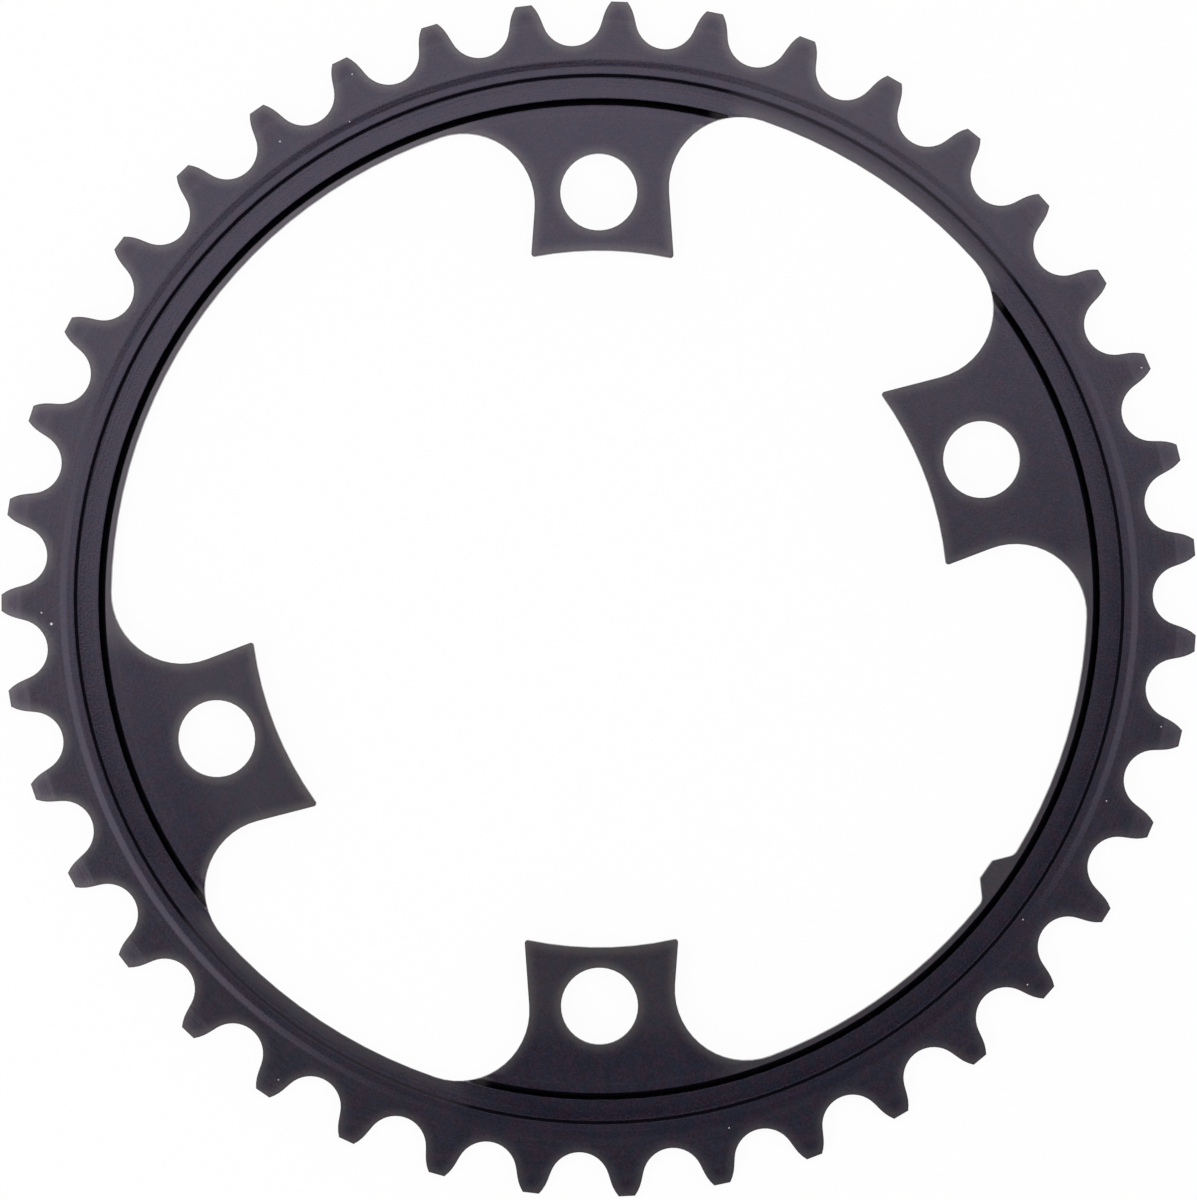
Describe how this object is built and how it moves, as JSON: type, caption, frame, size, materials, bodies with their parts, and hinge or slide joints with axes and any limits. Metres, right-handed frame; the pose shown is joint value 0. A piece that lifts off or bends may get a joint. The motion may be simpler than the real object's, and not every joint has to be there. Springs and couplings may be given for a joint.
{
  "type": "bicycle chainring",
  "caption": "Flat toothed aluminium ring that drives a roller chain, with inward tabs that bolt to a crank's arms, a turned channel inside its rim and a small locating nub.",
  "frame": {"origin": "on the ring's axis, in the plane of the underside that the ring lies on", "axes": "+Z along the axis, out of the bolting face of the tabs; +X towards the locating nub, which sits behind the crank arm; the bolt holes form a rectangle along X and Y"},
  "size_m": [0.1615, 0.1615, 0.0032],
  "materials": {
    "black_anodised_aluminium": "satin black anodised"
  },
  "bodies": {
    "root": {"chainring": "black_anodised_aluminium"}
  },
  "joints": []
}
